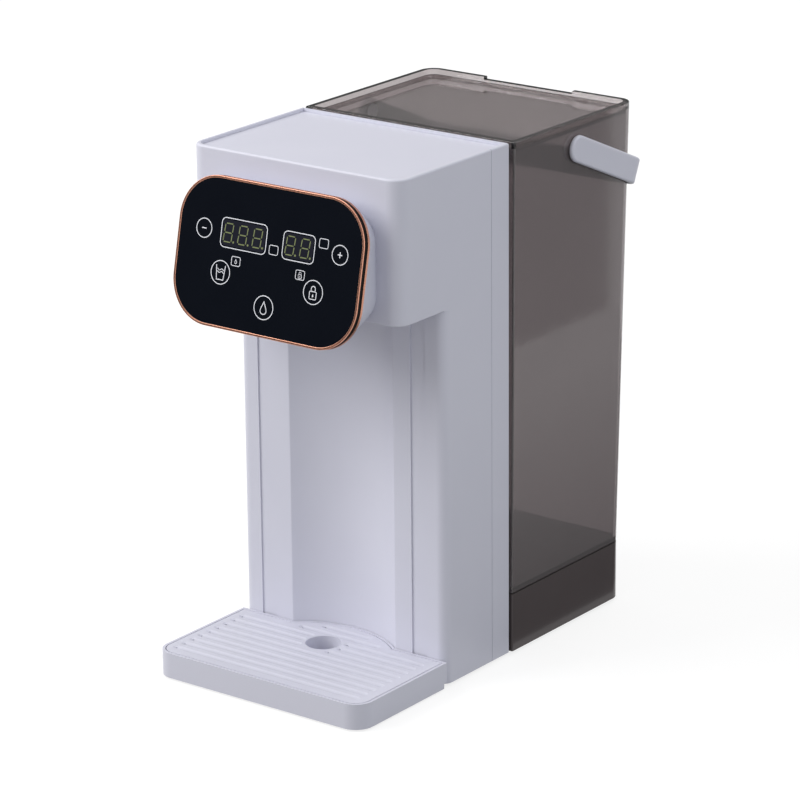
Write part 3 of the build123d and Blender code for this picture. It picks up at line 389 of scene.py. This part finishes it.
# Small boxes and waves have finer lines, which are a share of the plain line's width.
mark_line = 0.48
fine_share = 0.8
sign_line = 0.58
minus_key, plus_key = (-46.9, 11.0), (47.1, 10.9)
cup_key, lock_key, pour_key = (-32.4, -11.4), (32.0, -11.8), (-0.2, -25.6)
small_key_radius, key_radius = 5.3, 6.5
sign_reach, sign_rise = 1.5, 1.6

keys = [stroke(circle(place, small_key_radius), mark_line, True) for place in (minus_key, plus_key)]
keys += [stroke(circle(place, key_radius), mark_line, True) for place in (cup_key, lock_key, pour_key)]
keys += [stroke([(x - sign_reach, y), (x + sign_reach, y)], sign_line) for x, y in (minus_key, plus_key)]
x, y = plus_key
for side in (-1, 1):
    keys.append(stroke([(x, y + side * sign_line / 2), (x, y + side * sign_rise)], sign_line))
keys.append(stroke(drop(pour_key, width=4.8, height=7.2), mark_line, True))
keys += padlock(lock_key, width=4.6, thickness=mark_line)
keys += tumbler(cup_key, height=8.0, mouth=6.3, foot=4.6, thickness=mark_line)

# Matt screen ink is opaque and a little uneven.
white_ink = surface("matt_white_screen_ink", ("#F0F1F7", "#E6E8EE"), (0.5, 0.6), 0.4 * mm, 0.002 * mm,
                    cloud=4 * mm)
piece("printed_keys", keys, white_ink, "housing")

volume_frame = (-34.8, 2.8, -3.3, 19.0)
heat_frame = (8.2, 2.9, 29.8, 18.3)
unit_boxes = ((2.3, 6.4), (35.6, 15.3))
refill_box, lock_box = (-22.6, -3.8), (22.0, -4.0)
box_half_width, box_half_height = 3.0, 2.5
frame_corner, box_corner = 2.8, 1.0
small_drop_share, small_lock_share = 0.7, 0.6

frames = [stroke(rounded(*edges, frame_corner), mark_line, True) for edges in (volume_frame, heat_frame)]
for x, y in (*unit_boxes, refill_box, lock_box):
    box = rounded(x - box_half_width, y - box_half_height, x + box_half_width, y + box_half_height,
                  box_corner)
    frames.append(stroke(box, fine_share * mark_line, True))
frames.append(stroke(drop(refill_box, width=1.5, height=2.5, count=20), small_drop_share * mark_line, True))
frames += padlock(lock_box, width=2.2, thickness=small_lock_share * mark_line)
piece("printed_frames", frames, white_ink, "housing")


# Displays: two windows of smoked lacquer over seven-segment modules that shine through it. Every
# bar of the modules shows faintly, and a bar is a hexagon cut out of the module's mask.

window_inset = 1.0
window_corner = 2.0
lacquer_thickness = ink_thickness / 3

windows = []
for left, bottom, right, top in (volume_frame, heat_frame):
    window = rounded(left + window_inset, bottom + window_inset, right - window_inset, top - window_inset,
                     window_corner)
    windows.append(patch(window, lacquer_thickness))

# Glossy lacquer is a shade paler than the black round it.
smoked_lacquer = surface("smoked_lacquer", ("#24252E", "#292A34"), (0.06, 0.12), 12 * mm, 0.0 * mm, IOR=1.5)
piece("display_windows", windows, smoked_lacquer, "housing")

digit_width, digit_height, digit_pitch = 6.2, 10.8, 10.1
digit_inset = 1.9
bar_thickness = 0.62
bar_gap = 0.42
point_radius = 0.62
point_gap = 1.3
lean = math.tan(math.radians(5.0))


def bar(start, finish):
    """A bar between two joints: a hexagon with a point at each end, short of the joints by the gap."""
    start, finish = np.array(start), np.array(finish)
    along = (finish - start) / np.linalg.norm(finish - start)
    start, finish = start + along * bar_gap, finish - along * bar_gap
    tip = along * bar_thickness / 2
    rise = np.array((-along[1], along[0])) * bar_thickness / 2
    return np.array([start, start + tip - rise, finish - tip - rise, finish, finish - tip + rise,
                     start + tip + rise])


def digit(left, bottom):
    """The seven bars and the point of one digit, sheared by the lean."""
    xs = left + bar_thickness / 2, left + digit_width - bar_thickness / 2
    ys = bottom + bar_thickness / 2, bottom + digit_height / 2, bottom + digit_height - bar_thickness / 2
    bars = [bar((xs[0], y), (xs[1], y)) for y in ys]
    bars += [bar((x, low), (x, high)) for x in xs for low, high in zip(ys, ys[1:])]
    bars.append(circle((left + digit_width + point_gap, bottom + point_radius), point_radius, 20))
    return [patch(shape + np.stack([lean * (shape[:, 1] - ys[1]), 0 * shape[:, 1]], 1)) for shape in bars]


digits = []
for (left, bottom, right, top), count in ((volume_frame, 3), (heat_frame, 2)):
    for number in range(count):
        digits += digit(left + digit_inset + number * digit_pitch, (bottom + top - digit_height) / 2)

# The tinted epoxy of an unlit bar is a dull yellow green.
diffusing_epoxy = surface("diffusing_epoxy", ("#7F8856", "#757E4E"), (0.4, 0.5), 0.5 * mm, 0.002 * mm,
                          cloud=3 * mm)
piece("display_digits", digits, diffusing_epoxy, "housing")


# Drip tray: a shallow basin of white ABS on two rubber pads, with a lift-out grille that has
# drain grooves across it and a finger hole under the spout.

dress(white_abs, "drip_tray", "tray_grille")
dress(foot_rubber, "tray_pads")


# Tank base: a smoked ABS shell behind the column that carries the tank, with the nylon socket,
# its silicone seal, and the moulded gland that the mains lead would pass through.

dress(smoked_abs, "base_shell")
dress(natural_nylon, "tank_socket")
dress(clear_silicone, "socket_seal")
dress(black_nylon, "cord_gland")


# Water tank and lid: styrene acrylonitrile tinted with smoke, injection moulded and polished.
# Light is dimmed at every wall that it passes, and the edges look darkest.

smoke = linear("#4E4247")

# The tank's walls are a little cloudy, and the lid is clearer and paler.
tank_san = surface("smoked_clear_san", ("#BBB2B3", "#B7AEAF"), (0.05, 0.09), 25 * mm, 0.0 * mm,
                   IOR=1.49, Transmission_Weight=0.80)
lid_san = surface("pale_smoked_clear_san", ("#E9E1E1", "#E5DDDD"), (0.03, 0.06), 25 * mm, 0.0 * mm,
                  IOR=1.49, Transmission_Weight=1.0)
for san, density in ((tank_san, 145.0), (lid_san, 135.0)):
    tree = san.node_tree
    inside = add(tree, "ShaderNodeVolumeAbsorption", {"Color": smoke, "Density": density})
    tree.links.new(inside.outputs["Volume"], tree.nodes["Material Output"].inputs["Volume"])
dress(tank_san, "tank_shell")
dress(lid_san, "lid")


# Tank valve: a nylon cage in the tank's floor with a plunger, a silicone washer and a coil
# spring of stainless wire that shuts it when the tank is lifted off.

dress(natural_nylon, "valve_cage", "valve_plunger")
dress(clear_silicone, "valve_washer")

# Drawn wire is bright, with a slight haze.
spring_wire = surface("stainless_spring_wire", ("#BDBCBA", "#ACABAA"), (0.20, 0.32), 0.4 * mm, 0.003 * mm,
                      Metallic=1.0)
dress(spring_wire, "valve_spring")


# Handle: a white ABS bail on two pins in the tank's side walls. It rests against the tank's
# leaning rear wall and swings forward over the lid.

dress(white_abs, "handle", "handle_pins")


# Studio: a pale floor, a square soft lamp in front and above to the left, two broad weak lamps
# from the right and from behind, and a white room. The room's light on the object is held back,
# while the lens, gloss and clear plastic see it as plain white.

floor_half = 4.0
floor_glow = 0.80
room_light = 0.50
white = (1.0, 1.0, 1.0, 1.0)


def seen_directly(tree):
    """
    One for a ray from the lens, or one that gloss or clear plastic sends on, and zero for diffuse
    light, also where that has come through clear plastic.
    """
    path = add(tree, "ShaderNodeLightPath")
    first = add(tree, "ShaderNodeMath", {"operation": "ADD"},
                {0: path.outputs["Is Camera Ray"], 1: path.outputs["Is Glossy Ray"]})
    clear = add(tree, "ShaderNodeMath", {"operation": "ADD", "use_clamp": True},
                {0: first.outputs[0], 1: path.outputs["Is Transmission Ray"]})
    return add(tree, "ShaderNodeMath", {"operation": "SUBTRACT", "use_clamp": True},
               {0: clear.outputs[0], 1: path.outputs["Diffuse Depth"]}).outputs[0]


def backdrop(name, corners, material):
    """A flat sheet of the studio, with four corners."""
    mesh = bpy.data.meshes.new(name)
    mesh.from_pydata(corners, [], [(0, 1, 2, 3)])
    mesh.materials.append(material)
    thing = bpy.data.objects.new(name, mesh)
    bpy.context.scene.collection.objects.link(thing)
    return thing


world = bpy.data.worlds.new("white_room")
bpy.context.scene.world = world
world.use_nodes = True
strength = add(world.node_tree, "ShaderNodeMapRange", {"To Min": room_light, "To Max": 1.0},
               {"Value": seen_directly(world.node_tree)})
background = world.node_tree.nodes["Background"]
background.inputs["Color"].default_value = white
world.node_tree.links.new(strength.outputs["Result"], background.inputs["Strength"])

# Matt grey paint takes the soft shadow, and its glow to the lens makes the rest of it plain white.
floor_paint = surface("matt_floor_paint", ("#929292", "#8F8F8F"), (0.85, 0.95), 5 * mm, 0.0 * mm,
                      Specular_IOR_Level=0.0, Emission_Color=white)
tree = floor_paint.node_tree
glow = add(tree, "ShaderNodeMath", {"operation": "MULTIPLY", 1: floor_glow}, {0: seen_directly(tree)})
tree.links.new(glow.outputs[0], tree.nodes["Principled BSDF"].inputs["Emission Strength"])
floor_level = cad_box[0][2]
backdrop("studio_floor", [(-floor_half, -floor_half, floor_level), (floor_half, -floor_half, floor_level),
                          (floor_half, floor_half, floor_level), (-floor_half, floor_half, floor_level)],
         floor_paint)


# Cards: sheets that stand or lie round the object where its gloss would mirror the bright room.
# They show in reflections only, where they paint dark or dim reflections, and those that glow are
# no lamps. Their places are in metres.

dim_reflection_glow = 0.20
dark_glow, pale_glow = 0.12, 0.75
dark_reach, pale_reach = 0.12, 0.34
card_left, card_right, card_rear, card_height = 0.08, 0.40, 0.62, 0.002


def card_finish(name, **glow):
    """Matt black, which glows where a glow is given."""
    return surface(name, ("#0A0A0A", "#0C0C0C"), (0.9, 1.0), 2 * mm, 0.0 * mm,
                   Specular_IOR_Level=0.0, **glow)


def card(name, corners, material):
    """A sheet that only gloss sees."""
    thing = backdrop(name, corners, material)
    thing.visible_camera = False
    thing.visible_diffuse = False
    thing.visible_shadow = False
    thing.visible_transmission = False


def standing_card(name, start, finish, low, high, material):
    """A card on edge, from one place of the plan to another."""
    card(name, [(*start, low), (*finish, low), (*finish, high), (*start, high)], material)


# A black sheet paints a dark reflection on the touch glass, and grey sheets that glow paint dim
# reflections on the lid and the tank's side.
dark_reflection_paint = card_finish("painted_dark_reflection")
dim_reflection_paint = card_finish("painted_dim_reflection", Emission_Color=white, Emission_Strength=dim_reflection_glow)
standing_card("panel_card", (-0.62, -0.50), (-0.10, -0.72), 0.05, 0.48, dark_reflection_paint)
standing_card("tank_card", (0.411, 0.375), (0.411, 0.61), 0.0, 0.40, dim_reflection_paint)
standing_card("lid_card", (-0.75, 0.45), (-0.15, 0.90), 0.30, 0.85, dim_reflection_paint)

# The tank's side also gets a painted reflection of the floor's shadow: this card glows dark beside
# the object and pale further off.
floor_shadow_reflection_paint = card_finish("painted_floor_shadow_reflection", Emission_Color=white)
tree = floor_shadow_reflection_paint.node_tree
card_place = add(tree, "ShaderNodeTexCoord").outputs["Object"]
card_across = add(tree, "ShaderNodeSeparateXYZ", links={"Vector": card_place}).outputs["X"]
card_glow = add(tree, "ShaderNodeMapRange",
                {"From Min": dark_reach, "From Max": pale_reach, "To Min": dark_glow, "To Max": pale_glow},
                {"Value": card_across})
tree.links.new(card_glow.outputs["Result"], tree.nodes["Principled BSDF"].inputs["Emission Strength"])
card("floor_card", [(card_left, 0.0, card_height), (card_right, 0.0, card_height),
                    (card_right, card_rear, card_height), (card_left, card_rear, card_height)], floor_shadow_reflection_paint)


# Lamps: the soft lamp has its power in watts and its side in metres. Each broad lamp has its
# strength, azimuth, elevation and spread in degrees, and colour. Clear plastic doesn't pass their
# light, which would gather in bright streaks inside the tank.

soft_lamp_power = 27.5
soft_lamp_size = 1.4
soft_lamp_place = Vector((-1.12, -1.13, 1.29))
lamp_target = Vector((0.0, -0.05, 0.20))
wide_lamps = {"side_lamp": (0.72, 86, 8, 60, "#F0F8FF"), "back_lamp": (0.50, 176, 55, 40, "#FFFFFF")}

soft_data = bpy.data.lights.new("soft_lamp", "AREA")
soft_data.energy = soft_lamp_power
soft_data.size = soft_lamp_size
soft_lamp = bpy.data.objects.new("soft_lamp", soft_data)
soft_lamp.location = soft_lamp_place
soft_lamp.rotation_euler = (soft_lamp_place - lamp_target).to_track_quat("Z", "Y").to_euler()
soft_lamp.visible_transmission = False
bpy.context.scene.collection.objects.link(soft_lamp)
for name, (light, *degrees, colour) in wide_lamps.items():
    lamp_azimuth, lamp_elevation, spread = np.radians(degrees)
    wide_data = bpy.data.lights.new(name, "SUN")
    wide_data.energy = light
    wide_data.angle = spread
    wide_data.color = linear(colour)[:3]
    wide_lamp = bpy.data.objects.new(name, wide_data)
    wide_lamp.rotation_euler = (math.pi / 2 - lamp_elevation, 0, lamp_azimuth)
    wide_lamp.visible_transmission = False
    bpy.context.scene.collection.objects.link(wide_lamp)

bpy.context.scene.view_settings.view_transform = "Standard"
